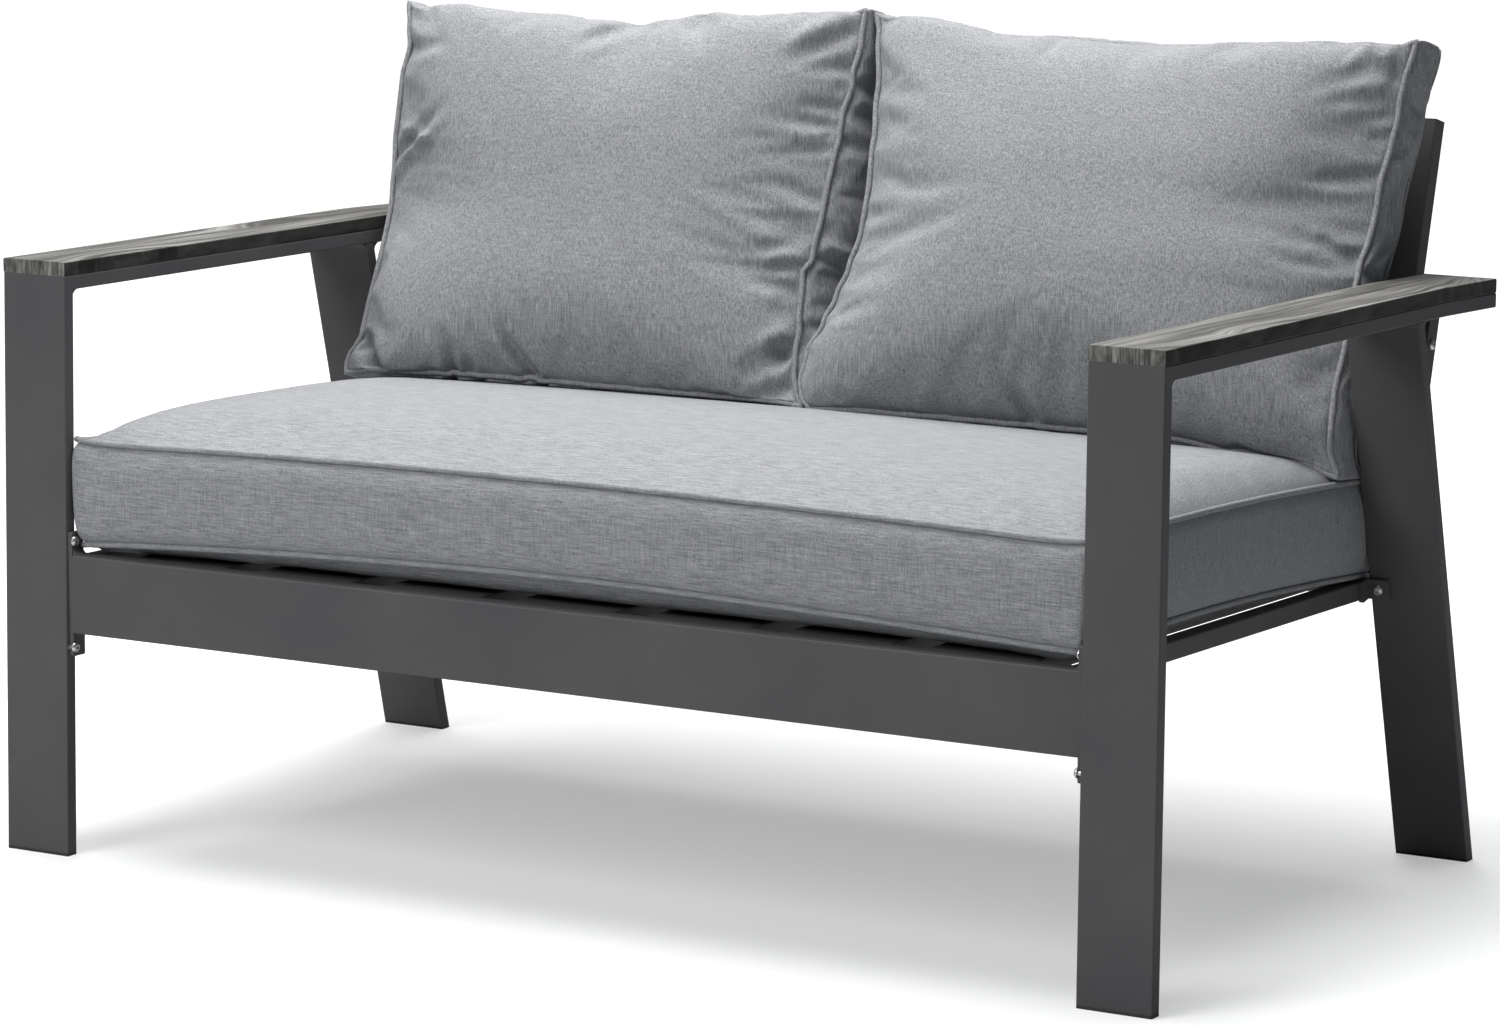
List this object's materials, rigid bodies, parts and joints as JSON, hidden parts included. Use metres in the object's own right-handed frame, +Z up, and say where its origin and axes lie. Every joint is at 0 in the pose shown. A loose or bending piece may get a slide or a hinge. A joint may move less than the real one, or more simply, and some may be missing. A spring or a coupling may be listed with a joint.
{
  "type": "patio loveseat",
  "caption": "Outdoor loveseat with flat-tube arm frames, wood-look armrests, a slatted deck and back, a bench seat cushion and loose piped back cushions.",
  "frame": {"origin": "on the floor, under the middle of the overall box", "axes": "+X along the seat to the right as seen from the front, -Y to the front, +Z up"},
  "size_m": [1.3, 0.7534, 0.8163],
  "materials": {
    "powder_coat": "satin charcoal powder coat",
    "wood_look": "matte grey-brown grain",
    "bright_steel": "satin",
    "black_plastic": "matte",
    "grey_plastic": "satin, coloured to match the powder coat",
    "cushion_fabric": "matte heathered weave"
  },
  "bodies": {
    "frame": {"arm_end_caps": "grey_plastic", "armrest_screws": "bright_steel", "back_bolts": "bright_steel", "back_slat_1": "powder_coat", "back_slat_2": "powder_coat", "back_slat_3": "powder_coat", "back_slat_4": "powder_coat", "back_slat_5": "powder_coat", "back_slat_6": "powder_coat", "back_slat_7": "powder_coat", "back_spacers": "black_plastic", "back_top_rail": "powder_coat", "deck_slat_1": "powder_coat", "deck_slat_2": "powder_coat", "deck_slat_3": "powder_coat", "deck_slat_4": "powder_coat", "deck_slat_5": "powder_coat", "deck_slat_6": "powder_coat", "deck_slat_7": "powder_coat", "foot_glides": "black_plastic", "left_arm_rail": "powder_coat", "left_armrest": "wood_look", "left_back_tab": "powder_coat", "left_back_upright": "powder_coat", "left_back_upright_cap": "grey_plastic", "left_front_leg": "powder_coat", "left_rear_leg": "powder_coat", "left_seat_end_plate": "powder_coat", "left_seat_rear_bracket": "powder_coat", "left_seat_side_rail": "powder_coat", "right_arm_rail": "powder_coat", "right_armrest": "wood_look", "right_back_tab": "powder_coat", "right_back_upright": "powder_coat", "right_back_upright_cap": "grey_plastic", "right_front_leg": "powder_coat", "right_rear_leg": "powder_coat", "right_seat_end_plate": "powder_coat", "right_seat_rear_bracket": "powder_coat", "right_seat_side_rail": "powder_coat", "seat_front_bolts": "bright_steel", "seat_front_rail": "powder_coat", "seat_rear_bolts": "bright_steel", "seat_rear_rail": "powder_coat", "threaded_inserts": "bright_steel"},
    "seat_cushion": {"seat_cushion": "cushion_fabric"},
    "left_back_cushion": {"left_back_cushion": "cushion_fabric"},
    "right_back_cushion": {"right_back_cushion": "cushion_fabric"}
  },
  "joints": [
    {"name": "seat_cushion_pull_out", "type": "slide", "parent": "frame", "child": "seat_cushion", "axis": [0, -0.9994, 0.0358], "range_m": [0, 0.62]},
    {"name": "left_back_cushion_lift", "type": "slide", "parent": "frame", "child": "left_back_cushion", "axis": [0, 0.2924, 0.9563], "range_m": [0, 0.45]},
    {"name": "right_back_cushion_lift", "type": "slide", "parent": "frame", "child": "right_back_cushion", "axis": [0, 0.2924, 0.9563], "range_m": [0, 0.45]}
  ]
}
